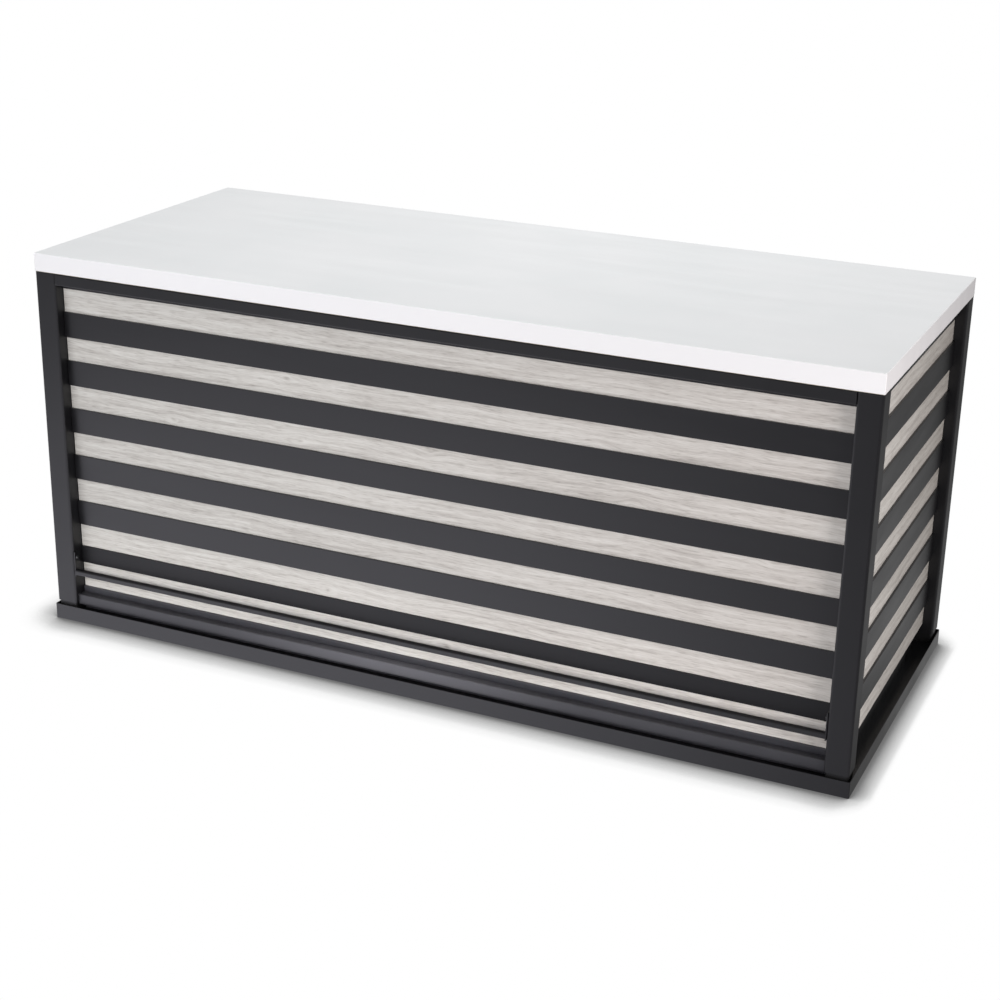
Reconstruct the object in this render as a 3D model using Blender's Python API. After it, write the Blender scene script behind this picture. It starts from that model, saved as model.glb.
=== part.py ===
"""Buffet serving station: tube frame on a low base, striped panels on three sides, lift-off laminate top.

Metres, +Z up. The origin is on the floor under the middle of the base. +X runs along the length to the
guests' right, and the guests stand on the -Y side. The staff side, +Y, is open for storage.
"""
import math

import bmesh
import bpy
from mathutils import Matrix

# Overall size
TOTAL_HEIGHT = 0.845
TOP_LENGTH = 1.829
TOP_DEPTH = 0.762
TOP_THICKNESS = 0.040
TOP_EASING = 0.0012

# Clearance between pieces that touch
GAP = 0.0003

# Base pan: an upright sheet rim round a sunk deck, with a return lip that rests on the floor
BASE_OVERHANG = 0.0045
BASE_HEIGHT = 0.035
BASE_DECK = 0.021
BASE_SHEET = 0.002
BASE_LIP = 0.010
BASE_CORNER_RADIUS = 0.003
BASE_EDGE_EASING = 0.0005

# Posts of square tube with a cap above and a plug below
POST_SIZE = 0.050
POST_WALL = 0.002
POST_RADIUS = 0.005
TUBE_BORE_RADIUS = 0.0006
CAP_FLANGE = 0.002
CAP_PLUG_DEPTH = 0.018
PLUG_FLANGE = 0.022
PLUG_INSET = 0.0025
PLUG_DEPTH = 0.026
PLUG_CLEARANCE = 0.0004
PLUG_RADIUS = 0.001

# Rails of rectangular tube
RAIL_HEIGHT = 0.025
LONG_RAIL_DEPTH = 0.020
END_RAIL_DEPTH = 0.015
RAIL_WALL = 0.0015
RAIL_RADIUS = 0.0025
BEARER_WIDTH = 0.040
LOW_RAIL_SETBACK = 0.010
LOW_RAIL_HEIGHT = 0.025
LOW_RAIL_BOTTOM = 0.0375
END_LOW_RAIL_HEIGHT = 0.040
END_LOW_RAIL_BOTTOM = 0.0385

# Guard bar across the front, with a screw tab at each end
BAR_SIZE = 0.013
BAR_BOTTOM = 0.112
BAR_TAB_THICKNESS = 0.003
BAR_TAB_DEPTH = 0.018
BAR_TAB_HEIGHT = 0.059
BAR_TAB_SETBACK = 0.001
BAR_TAB_DROP = 0.003
BAR_RADIUS = 0.0035
BAR_TAB_EASING = 0.0007

# Striped panels: a wood-look board with black strips fixed on its face
BOARD_THICKNESS = 0.009
STRIP_THICKNESS = 0.005
STRIP_EASING = 0.0006
BOARD_EASING = 0.0004
PANEL_SIDE_GAP = 0.001
PANEL_HEAD = 0.8025
END_PANEL_SETBACK = 0.025
STRIPE_PITCH = 0.1086
STRIPE_OPENING = 0.0525
FIRST_OPENING_TOP = 0.770
OPENINGS = 7
FRONT_FOOT = 0.0228
FRONT_LAST_OPENING_TOP = 0.135
FRONT_LAST_OPENING_BOTTOM = 0.076

# Batten behind the foot of the front panel
STOP_LENGTH = 1.700
STOP_SIZE = 0.012
STOP_DISTANCE = 0.0035
STOP_EASING = 0.0010

# Locating pins between the top and the post caps
PIN_RADIUS = 0.005
PIN_BURIED = 0.020
PIN_FREE = 0.014
PIN_TIP = 0.0025
PIN_SEAT_CLEARANCE = 0.0004
CAP_HOLE_RADIUS = 0.0065

# Levelling feet
STEM_RADIUS = 0.005
STEM_TOP = 0.066
STEM_TIP_RADIUS = 0.0037
STEM_TIP_HEIGHT = 0.0015
STEM_HOLE_RADIUS = 0.0058
FOOT_RADIUS = 0.015
FOOT_REST_HEIGHT = 0.001
FOOT_PAD_HEIGHT = 0.009
FOOT_TAPER = 0.004
HEX_ACROSS_FLATS = 0.017
HEX_HEIGHT = 0.006

# Facets of round outlines
CORNER_STEPS = 4
ROUND_STEPS = 20
HEX_STEPS = 24
SMOOTH_ANGLE = math.radians(35)

# Levels and half sizes that follow from the above
TOP_UNDERSIDE = TOTAL_HEIGHT - TOP_THICKNESS
FRAME_TOP = TOP_UNDERSIDE - GAP
HALF_LENGTH = TOP_LENGTH / 2
HALF_DEPTH = TOP_DEPTH / 2
POST_X = HALF_LENGTH - POST_SIZE / 2
POST_Y = HALF_DEPTH - POST_SIZE / 2
INNER_X = HALF_LENGTH - POST_SIZE
INNER_Y = HALF_DEPTH - POST_SIZE
CORNERS = {
    "front_left": (-POST_X, -POST_Y),
    "front_right": (POST_X, -POST_Y),
    "back_left": (-POST_X, POST_Y),
    "back_right": (POST_X, POST_Y),
}
SIDES = {"left": -1, "right": 1}


def clear_scene():
    """Remove every object of the open scene."""
    for item in list(bpy.data.objects):
        bpy.data.objects.remove(item, do_unlink=True)


def make_material(name, colour, roughness, metallic):
    """Return a Principled material of one colour (linear RGB)."""
    material = bpy.data.materials.new(name)
    material.use_nodes = True
    shader = material.node_tree.nodes["Principled BSDF"]
    shader.inputs["Base Color"].default_value = (*colour, 1.0)
    shader.inputs["Roughness"].default_value = roughness
    shader.inputs["Metallic"].default_value = metallic
    return material


def add_object(name, bm, material, location=(0, 0, 0), rotation=(0, 0, 0)):
    """Turn a bmesh into a named object with outward faces, smooth over its round edges."""
    bmesh.ops.recalc_face_normals(bm, faces=bm.faces)
    mesh = bpy.data.meshes.new(name)
    bm.to_mesh(mesh)
    bm.free()
    mesh.shade_smooth()
    mesh.set_sharp_from_angle(angle=SMOOTH_ANGLE)
    mesh.materials.append(material)
    item = bpy.data.objects.new(name, mesh)
    item.location = location
    item.rotation_euler = rotation
    bpy.context.collection.objects.link(item)
    return item


def rounded_rectangle(width, depth, radius, z):
    """Outline of a rectangle with round corners, counter-clockwise, at height z."""
    points = []
    for corner in range(4):
        side_x = 1 if corner in (0, 3) else -1
        side_y = 1 if corner in (0, 1) else -1
        for step in range(CORNER_STEPS + 1):
            angle = (corner + step / CORNER_STEPS) * math.pi / 2
            x = side_x * (width / 2 - radius) + radius * math.cos(angle)
            y = side_y * (depth / 2 - radius) + radius * math.sin(angle)
            points.append((x, y, z))
    return points


def circle(radius, z, steps=ROUND_STEPS):
    """Outline of a circle at height z, counter-clockwise."""
    angles = [2 * math.pi * step / steps for step in range(steps)]
    return [(radius * math.cos(angle), radius * math.sin(angle), z) for angle in angles]


def hexagon(across_flats, z):
    """Outline of a hexagon, with as many points as the round outlines beside it."""
    points = []
    for step in range(HEX_STEPS):
        angle = 2 * math.pi * step / HEX_STEPS
        from_flat = (angle + math.pi / 6) % (math.pi / 3) - math.pi / 6
        radius = across_flats / 2 / math.cos(from_flat)
        points.append((radius * math.cos(angle), radius * math.sin(angle), z))
    return points


def skin(rings, hollow=False):
    """Join outlines of equal point counts into a closed skin.

    A hollow skin joins its last outline back to its first. Otherwise both ends are filled.
    """
    bm = bmesh.new()
    loops = [[bm.verts.new(point) for point in ring] for ring in rings]
    pairs = list(zip(loops, loops[1:]))
    if hollow:
        pairs.append((loops[-1], loops[0]))
    else:
        bm.faces.new(loops[0])
        bm.faces.new(loops[-1])
    count = len(loops[0])
    for lower, upper in pairs:
        for index in range(count):
            following = (index + 1) % count
            bm.faces.new((lower[index], lower[following], upper[following], upper[index]))
    return bm


def tube(width, depth, wall, radius, length):
    """Skin of a rectangular tube along +Z, centred on the origin."""
    low, high = -length / 2, length / 2
    bore = (width - 2 * wall, depth - 2 * wall, TUBE_BORE_RADIUS)
    rings = [
        rounded_rectangle(width, depth, radius, low),
        rounded_rectangle(width, depth, radius, high),
        rounded_rectangle(*bore, high),
        rounded_rectangle(*bore, low),
    ]
    return skin(rings, hollow=True)


def eased_block(size, easing):
    """Block of the given size, centred on the origin, with all its edges eased."""
    bm = bmesh.new()
    bmesh.ops.create_cube(bm, size=1)
    bmesh.ops.scale(bm, vec=size, verts=bm.verts)
    bmesh.ops.bevel(bm, geom=list(bm.edges), offset=easing, segments=2, profile=0.5, affect="EDGES")
    return bm


def add_block(name, low, high, easing, material):
    """Eased block between two corners, with its origin in its middle."""
    size = [top - bottom for bottom, top in zip(low, high)]
    middle = [(top + bottom) / 2 for bottom, top in zip(low, high)]
    return add_object(name, eased_block(size, easing), material, location=middle)


def hide_cutter(cutter):
    """Mark an object as a tool for cutting that isn't part of the furniture."""
    cutter.hide_render = True
    cutter.display_type = "WIRE"


def cut(target, cutter, operation="DIFFERENCE"):
    """Cut or join one object with another."""
    hide_cutter(cutter)
    modifier = target.modifiers.new(cutter.name, "BOOLEAN")
    modifier.operation = operation
    modifier.object = cutter


def corner_holes(name, radius, low, high, material):
    """One cutter with a round hole at each post's middle."""
    bm = bmesh.new()
    for x, y in CORNERS.values():
        bmesh.ops.create_cone(
            bm,
            cap_ends=True,
            segments=ROUND_STEPS,
            radius1=radius,
            radius2=radius,
            depth=high - low,
            matrix=Matrix.Translation((x, y, (low + high) / 2)),
        )
    return add_object(name, bm, material)


def build_serving_top(material):
    """Slab with eased edges and blind holes for the locating pins."""
    inset = 2 * TOP_EASING
    rings = [
        rounded_rectangle(TOP_LENGTH - inset, TOP_DEPTH - inset, TOP_EASING, 0),
        rounded_rectangle(TOP_LENGTH, TOP_DEPTH, TOP_EASING, TOP_EASING),
        rounded_rectangle(TOP_LENGTH, TOP_DEPTH, TOP_EASING, TOP_THICKNESS - TOP_EASING),
        rounded_rectangle(TOP_LENGTH - inset, TOP_DEPTH - inset, TOP_EASING, TOP_THICKNESS),
    ]
    slab = add_object("serving_top", skin(rings), material, location=(0, 0, TOP_UNDERSIDE))
    hole_top = TOP_UNDERSIDE + PIN_BURIED + PIN_SEAT_CLEARANCE
    hole_bottom = TOP_UNDERSIDE - PIN_BURIED
    cutter = corner_holes("pin_holes", PIN_RADIUS + PIN_SEAT_CLEARANCE, hole_bottom, hole_top, material)
    cut(slab, cutter)


def build_locating_pins(material):
    """Steel dowels, half in the slab and half in the post caps, with a tapered tip."""
    rings = [
        circle(PIN_RADIUS - PIN_TIP / 2, -PIN_FREE),
        circle(PIN_RADIUS, PIN_TIP - PIN_FREE),
        circle(PIN_RADIUS, PIN_BURIED),
    ]
    for corner, (x, y) in CORNERS.items():
        add_object(f"locating_pin_{corner}", skin(rings), material, location=(x, y, TOP_UNDERSIDE))


def build_posts(steel, plastic):
    """Four tube posts, each closed by a drilled cap above and a drilled plug on a foot flange below."""
    post_bottom = BASE_DECK + GAP + PLUG_FLANGE + GAP
    post_top = FRAME_TOP - CAP_FLANGE - GAP
    post_length = post_top - post_bottom
    bore = POST_SIZE - 2 * POST_WALL - 2 * PLUG_CLEARANCE
    flange = POST_SIZE - 2 * PLUG_INSET
    cap_rings = [
        rounded_rectangle(POST_SIZE, POST_SIZE, POST_RADIUS, 0),
        rounded_rectangle(POST_SIZE, POST_SIZE, POST_RADIUS, -CAP_FLANGE),
        rounded_rectangle(bore, bore, PLUG_RADIUS, -CAP_FLANGE),
        rounded_rectangle(bore, bore, PLUG_RADIUS, -CAP_FLANGE - CAP_PLUG_DEPTH),
        circle(CAP_HOLE_RADIUS, -CAP_FLANGE - CAP_PLUG_DEPTH),
        circle(CAP_HOLE_RADIUS, 0),
    ]
    plug_rings = [
        rounded_rectangle(flange, flange, POST_RADIUS, 0),
        rounded_rectangle(flange, flange, POST_RADIUS, PLUG_FLANGE),
        rounded_rectangle(bore, bore, PLUG_RADIUS, PLUG_FLANGE),
        rounded_rectangle(bore, bore, PLUG_RADIUS, PLUG_FLANGE + PLUG_DEPTH),
        circle(STEM_HOLE_RADIUS, PLUG_FLANGE + PLUG_DEPTH),
        circle(STEM_HOLE_RADIUS, 0),
    ]
    for corner, (x, y) in CORNERS.items():
        shaft = tube(POST_SIZE, POST_SIZE, POST_WALL, POST_RADIUS, post_length)
        add_object(f"post_{corner}", shaft, steel, location=(x, y, post_bottom + post_length / 2))
        cap = skin(cap_rings, hollow=True)
        add_object(f"post_cap_{corner}", cap, plastic, location=(x, y, FRAME_TOP))
        plug = skin(plug_rings, hollow=True)
        add_object(f"post_foot_plug_{corner}", plug, plastic, location=(x, y, BASE_DECK + GAP))


def add_long_rail(name, y, z, height, depth, length, steel):
    """Tube along X, centred at the given place."""
    shaft = tube(height, depth, RAIL_WALL, RAIL_RADIUS, length)
    add_object(name, shaft, steel, location=(0, y, z), rotation=(0, math.pi / 2, 0))


def add_end_rail(name, x, z, height, steel):
    """Tube along Y between the posts of one end, centred at the given place."""
    shaft = tube(END_RAIL_DEPTH, height, RAIL_WALL, RAIL_RADIUS, 2 * (INNER_Y - GAP))
    add_object(name, shaft, steel, location=(x, 0, z), rotation=(-math.pi / 2, 0, 0))


def build_rails(steel):
    """Top and bottom rails on all four sides, and the bearer under the middle of the slab."""
    long_length = 2 * (INNER_X - GAP)
    top_z = FRAME_TOP - RAIL_HEIGHT / 2
    low_z = LOW_RAIL_BOTTOM + LOW_RAIL_HEIGHT / 2
    end_low_z = END_LOW_RAIL_BOTTOM + END_LOW_RAIL_HEIGHT / 2
    top_y = HALF_DEPTH - LONG_RAIL_DEPTH / 2
    low_y = top_y - LOW_RAIL_SETBACK
    for side, sign in (("front", -1), ("back", 1)):
        top = (sign * top_y, top_z, RAIL_HEIGHT)
        low = (sign * low_y, low_z, LOW_RAIL_HEIGHT)
        add_long_rail(f"top_rail_{side}", *top, LONG_RAIL_DEPTH, long_length, steel)
        add_long_rail(f"bottom_rail_{side}", *low, LONG_RAIL_DEPTH, long_length, steel)
    end_face = HALF_LENGTH - END_PANEL_SETBACK - BOARD_THICKNESS - GAP
    end_x = end_face - END_RAIL_DEPTH / 2
    for side, sign in SIDES.items():
        add_end_rail(f"top_rail_{side}", sign * end_x, top_z, RAIL_HEIGHT, steel)
        add_end_rail(f"bottom_rail_{side}", sign * end_x, end_low_z, END_LOW_RAIL_HEIGHT, steel)
    bearer_length = 2 * (end_face - END_RAIL_DEPTH - GAP)
    add_long_rail("top_bearer", 0, top_z, RAIL_HEIGHT, BEARER_WIDTH, bearer_length, steel)


def build_guard_bar(steel):
    """Thin bar flush with the front of the posts, with an upright screw tab welded on each end."""
    front = -HALF_DEPTH
    tab_front = front + BAR_TAB_SETBACK
    tab_bottom = BAR_BOTTOM - BAR_TAB_DROP
    tab_outside = INNER_X - GAP
    tab_inside = tab_outside - BAR_TAB_THICKNESS
    bar_end = (tab_outside + tab_inside) / 2
    rings = [rounded_rectangle(BAR_SIZE, BAR_SIZE, BAR_RADIUS, end) for end in (-bar_end, bar_end)]
    middle = (0, front + BAR_SIZE / 2, BAR_BOTTOM + BAR_SIZE / 2)
    bar = add_object("front_guard_bar", skin(rings), steel, middle, (0, math.pi / 2, 0))
    for side, sign in SIDES.items():
        faces = sorted((sign * tab_outside, sign * tab_inside))
        tab = add_block(
            f"guard_bar_tab_{side}",
            (faces[0], tab_front, tab_bottom),
            (faces[1], tab_front + BAR_TAB_DEPTH, tab_bottom + BAR_TAB_HEIGHT),
            BAR_TAB_EASING,
            steel,
        )
        cut(bar, tab, "UNION")


def regular_openings():
    """Bottom and top of each light opening of the regular stripe, from the head down."""
    tops = [FIRST_OPENING_TOP - STRIPE_PITCH * index for index in range(OPENINGS)]
    return [(top - STRIPE_OPENING, top) for top in tops]


def strip_levels(openings, foot):
    """Bottom and top of each black strip between the openings, from the head down to the foot."""
    tops = [PANEL_HEAD] + [bottom for bottom, _ in openings]
    bottoms = [top for _, top in openings] + [foot]
    return [(bottom, top) for bottom, top in zip(bottoms, tops) if top - bottom > STRIP_THICKNESS]


def build_front_panel(board_material, strip_material):
    """Front panel, which stands behind the rails and leans its head against the top one.

    Its parts hang on an empty at the back edge of its foot, the line about which it tips inward.
    """
    head_face = -HALF_DEPTH + LONG_RAIL_DEPTH + GAP
    rail_rise = FRAME_TOP - LOW_RAIL_BOTTOM - LOW_RAIL_HEIGHT
    lean = math.atan(LOW_RAIL_SETBACK / rail_rise)
    thickness = STRIP_THICKNESS + GAP + BOARD_THICKNESS
    lean_contact = FRAME_TOP - RAIL_HEIGHT / 2 - FRONT_FOOT
    pivot_y = head_face + lean_contact * math.tan(lean) + thickness / math.cos(lean)
    pivot = bpy.data.objects.new("front_panel_pivot", None)
    pivot.location = (0, pivot_y, FRONT_FOOT)
    pivot.rotation_euler = (lean, 0, 0)
    bpy.context.collection.objects.link(pivot)

    half_width = INNER_X - PANEL_SIDE_GAP
    board = add_block(
        "front_panel_board",
        (-half_width, -BOARD_THICKNESS, 0),
        (half_width, 0, PANEL_HEAD - FRONT_FOOT),
        BOARD_EASING,
        board_material,
    )
    board.parent = pivot
    openings = regular_openings()[:-1]
    openings.append((FRONT_LAST_OPENING_BOTTOM, FRONT_LAST_OPENING_TOP))
    for index, (bottom, top) in enumerate(strip_levels(openings, FRONT_FOOT), start=1):
        strip = add_block(
            f"front_panel_strip_{index}",
            (-half_width, -thickness, bottom - FRONT_FOOT),
            (half_width, STRIP_THICKNESS - thickness, top - FRONT_FOOT),
            STRIP_EASING,
            strip_material,
        )
        strip.parent = pivot
    return pivot_y


def build_end_panels(board_material, strip_material):
    """Panels of the two ends, fixed on the outside of the end rails between the posts."""
    openings = regular_openings()
    foot = openings[-1][0]
    half_width = INNER_Y - PANEL_SIDE_GAP
    face = HALF_LENGTH - END_PANEL_SETBACK
    for side, sign in SIDES.items():
        faces = sorted((sign * face, sign * (face - BOARD_THICKNESS)))
        low = (faces[0], -half_width, foot)
        high = (faces[1], half_width, PANEL_HEAD)
        add_block(f"{side}_panel_board", low, high, BOARD_EASING, board_material)
        faces = sorted((sign * (face + GAP), sign * (face + STRIP_THICKNESS)))
        for index, (bottom, top) in enumerate(strip_levels(openings, foot), start=1):
            low = (faces[0], -half_width, bottom)
            high = (faces[1], half_width, top)
            add_block(f"{side}_panel_strip_{index}", low, high, STRIP_EASING, strip_material)


def build_panel_stop(panel_back, material):
    """Batten on the base that keeps the foot of the front panel from sliding inward."""
    front = panel_back + STOP_DISTANCE
    low = (-STOP_LENGTH / 2, front, BASE_DECK + GAP)
    high = (STOP_LENGTH / 2, front + STOP_SIZE, BASE_DECK + GAP + STOP_SIZE)
    add_block("panel_foot_stop", low, high, STOP_EASING, material)


def build_base_pan(steel):
    """Sheet pan with a rim above its deck, a return lip below and a stem hole under each post."""
    length = TOP_LENGTH + 2 * BASE_OVERHANG
    depth = TOP_DEPTH + 2 * BASE_OVERHANG

    def outline(inset, z):
        radius = max(BASE_CORNER_RADIUS - inset, BASE_EDGE_EASING)
        return rounded_rectangle(length - 2 * inset, depth - 2 * inset, radius, z)

    rings = [
        outline(BASE_SHEET, BASE_DECK),
        outline(BASE_SHEET, BASE_HEIGHT - BASE_EDGE_EASING),
        outline(BASE_SHEET - BASE_EDGE_EASING, BASE_HEIGHT),
        outline(BASE_EDGE_EASING, BASE_HEIGHT),
        outline(0, BASE_HEIGHT - BASE_EDGE_EASING),
        outline(0, BASE_EDGE_EASING),
        outline(BASE_EDGE_EASING, 0),
        outline(BASE_LIP, 0),
        outline(BASE_LIP, BASE_SHEET),
        outline(BASE_SHEET, BASE_SHEET),
        outline(BASE_SHEET, BASE_DECK - BASE_SHEET),
    ]
    pan = add_object("base_pan", skin(rings), steel)
    hole_bottom = BASE_DECK - 2 * BASE_SHEET
    hole_top = BASE_DECK + BASE_SHEET
    cutter = corner_holes("stem_holes", STEM_HOLE_RADIUS, hole_bottom, hole_top, steel)
    cut(pan, cutter)


def build_levelling_feet(material):
    """Feet with a round pad, a hexagon for the spanner and a stem that runs up into the post's plug."""
    pad_top = FOOT_PAD_HEIGHT
    hex_top = pad_top + HEX_HEIGHT
    stem_top = STEM_TOP - FOOT_REST_HEIGHT
    rings = [
        circle(FOOT_RADIUS, 0, HEX_STEPS),
        circle(FOOT_RADIUS, pad_top - FOOT_TAPER, HEX_STEPS),
        circle(FOOT_RADIUS - FOOT_TAPER, pad_top, HEX_STEPS),
        hexagon(HEX_ACROSS_FLATS, pad_top),
        hexagon(HEX_ACROSS_FLATS, hex_top),
        circle(STEM_RADIUS, hex_top, HEX_STEPS),
        circle(STEM_RADIUS, stem_top - STEM_TIP_HEIGHT, HEX_STEPS),
        circle(STEM_TIP_RADIUS, stem_top, HEX_STEPS),
    ]
    for corner, (x, y) in CORNERS.items():
        add_object(f"levelling_foot_{corner}", skin(rings), material, location=(x, y, FOOT_REST_HEIGHT))


def main():
    """Build every piece of the station."""
    clear_scene()
    steel = make_material("black_powder_coat", (0.012, 0.012, 0.014), 0.40, 0.0)
    laminate = make_material("white_laminate", (0.83, 0.83, 0.83), 0.35, 0.0)
    grey_oak = make_material("grey_oak_laminate", (0.56, 0.54, 0.52), 0.55, 0.0)
    black_strip = make_material("black_laminate", (0.014, 0.014, 0.016), 0.42, 0.0)
    plastic = make_material("black_plastic", (0.009, 0.009, 0.009), 0.55, 0.0)
    zinc = make_material("zinc_steel", (0.60, 0.60, 0.60), 0.35, 1.0)
    build_base_pan(steel)
    build_posts(steel, plastic)
    build_rails(steel)
    build_guard_bar(steel)
    panel_back = build_front_panel(grey_oak, black_strip)
    build_panel_stop(panel_back, black_strip)
    build_end_panels(grey_oak, black_strip)
    build_serving_top(laminate)
    build_locating_pins(zinc)
    build_levelling_feet(zinc)


main()
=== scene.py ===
"""Looks of the buffet serving station: a finish for every piece, its screws, and a plain studio.

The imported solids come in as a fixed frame, in metres, +Z up, with the guests on the -Y side. Each
sub-assembly is a class that dresses its own solids, and the screws are the only pieces added.
"""
from __future__ import annotations

import logging
import math
from dataclasses import dataclass, field, replace
from enum import Enum
from typing import Any, Callable

import bpy
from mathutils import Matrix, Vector

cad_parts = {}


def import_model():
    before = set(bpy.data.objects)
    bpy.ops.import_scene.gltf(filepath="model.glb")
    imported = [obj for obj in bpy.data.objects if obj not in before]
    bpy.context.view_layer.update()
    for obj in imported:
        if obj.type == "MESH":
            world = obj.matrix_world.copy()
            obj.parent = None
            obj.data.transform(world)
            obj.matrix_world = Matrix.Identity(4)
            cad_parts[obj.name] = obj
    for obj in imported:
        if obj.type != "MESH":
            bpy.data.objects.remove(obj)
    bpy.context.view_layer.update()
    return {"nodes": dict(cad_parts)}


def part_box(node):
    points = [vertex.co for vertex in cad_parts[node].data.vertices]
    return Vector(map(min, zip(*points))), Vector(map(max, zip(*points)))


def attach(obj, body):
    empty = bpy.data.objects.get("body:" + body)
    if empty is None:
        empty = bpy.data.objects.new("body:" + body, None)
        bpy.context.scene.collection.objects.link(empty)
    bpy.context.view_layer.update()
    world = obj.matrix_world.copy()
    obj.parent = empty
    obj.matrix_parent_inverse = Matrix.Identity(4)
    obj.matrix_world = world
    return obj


LOG = logging.getLogger("serving_station")
MM = 0.001

# Sockets of the Mix node: the factor, then those for colours and those for numbers
MIX_FACTOR = 0
MIX_FIRST = 6
MIX_SECOND = 7
NUMBER_FIRST = 2
NUMBER_SECOND = 3

# Noise lies in the first range nearly everywhere and in the second mostly
NOISE_RANGE = (0.3, 0.7)
NOISE_MIDDLE = (0.35, 0.65)

# Cosine between a face's own normal and its rounded one where wear starts and where it is full
WEAR_TURN = (0.985, 0.85)
# Share of the wear left where the breakup is strongest
WEAR_LEFT = 0.35
WEAR_SAMPLES = 6

# A face counts as upright while its normal rises or falls by no more than this
UPRIGHT = 0.5

# Length of one wave of the Wave texture at a scale of 1
WAVE_LENGTH = math.tau / 20

Colour = tuple[float, float, float, float]
Triple = tuple[float, float, float]
Pair = tuple[float, float]
Stops = tuple[tuple[float, str], ...]
Nodes = bpy.types.NodeTree
Node = bpy.types.Node
Socket = bpy.types.NodeSocket
Source = Node | Socket
Material = bpy.types.Material
Solids = dict[str, bpy.types.Object]


def srgb(code: str) -> Colour:
    """Turn an sRGB hex colour into linear RGBA.

    Args:
        code: Six hex digits after a hash sign.

    Returns:
        The linear colour with full alpha.
    """
    channels = [int(code[start : start + 2], 16) / 255 for start in (1, 3, 5)]
    linear = [c / 12.92 if c <= 0.04045 else ((c + 0.055) / 1.055) ** 2.4 for c in channels]
    return (*linear, 1.0)


def output_of(source: Source) -> Socket:
    """Find the output that a source stands for.

    Args:
        source: An output, or a node whose first output in use is meant.

    Returns:
        The output.
    """
    if isinstance(source, Socket):
        return source
    return next(output for output in source.outputs if output.enabled)


def add_node(
    tree: Nodes,
    kind: str,
    inputs: dict[Any, Any] | tuple[Any, ...] = (),
    stops: Stops = (),
    **settings: Any,
) -> Node:
    """Add one shader node with its settings, values and links.

    Args:
        tree: The node tree that takes the node.
        kind: Blender's type name of the node, after ShaderNode.
        inputs: Values, nodes or outputs, by socket name or number, or in the sockets' order.
        stops: Places and hex colours for a node that holds a colour ramp.
        settings: Properties of the node.

    Returns:
        The new node.
    """
    made = tree.nodes.new(f"ShaderNode{kind}")
    for name, value in settings.items():
        setattr(made, name, value)
    named = inputs if isinstance(inputs, dict) else dict(enumerate(inputs))
    for socket, value in named.items():
        if isinstance(value, Source):
            tree.links.new(output_of(value), made.inputs[socket])
        else:
            made.inputs[socket].default_value = value
    if stops:
        ramp = made.color_ramp.elements
        while len(ramp) < len(stops):
            ramp.new(1.0)
        for element, (place, code) in zip(ramp, stops):
            element.position = place
            element.color = srgb(code)
    return made


class Grain(Enum):
    """Which way the printed grain runs over a board."""

    ALONG_LENGTH = "X"
    ALONG_DEPTH = "Y"


class Facing(Enum):
    """Which way a screw's head looks, as the turn about Y that brings +Z there."""

    UP = 0.0
    RIGHT = math.pi / 2
    LEFT = -math.pi / 2


@dataclass(frozen=True)
class Canvas:
    """The nodes that every finish starts from.

    Attributes:
        tree: The material's node tree.
        shader: Its shader.
        here: Place on the piece, in metres.
        normal: Direction of the face.
    """

    tree: Nodes
    shader: Node
    here: Socket
    normal: Socket

    def feed(self, name: str, source: Source) -> None:
        """Link a pattern to one of the shader's inputs."""
        self.tree.links.new(output_of(source), self.shader.inputs[name])


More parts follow.
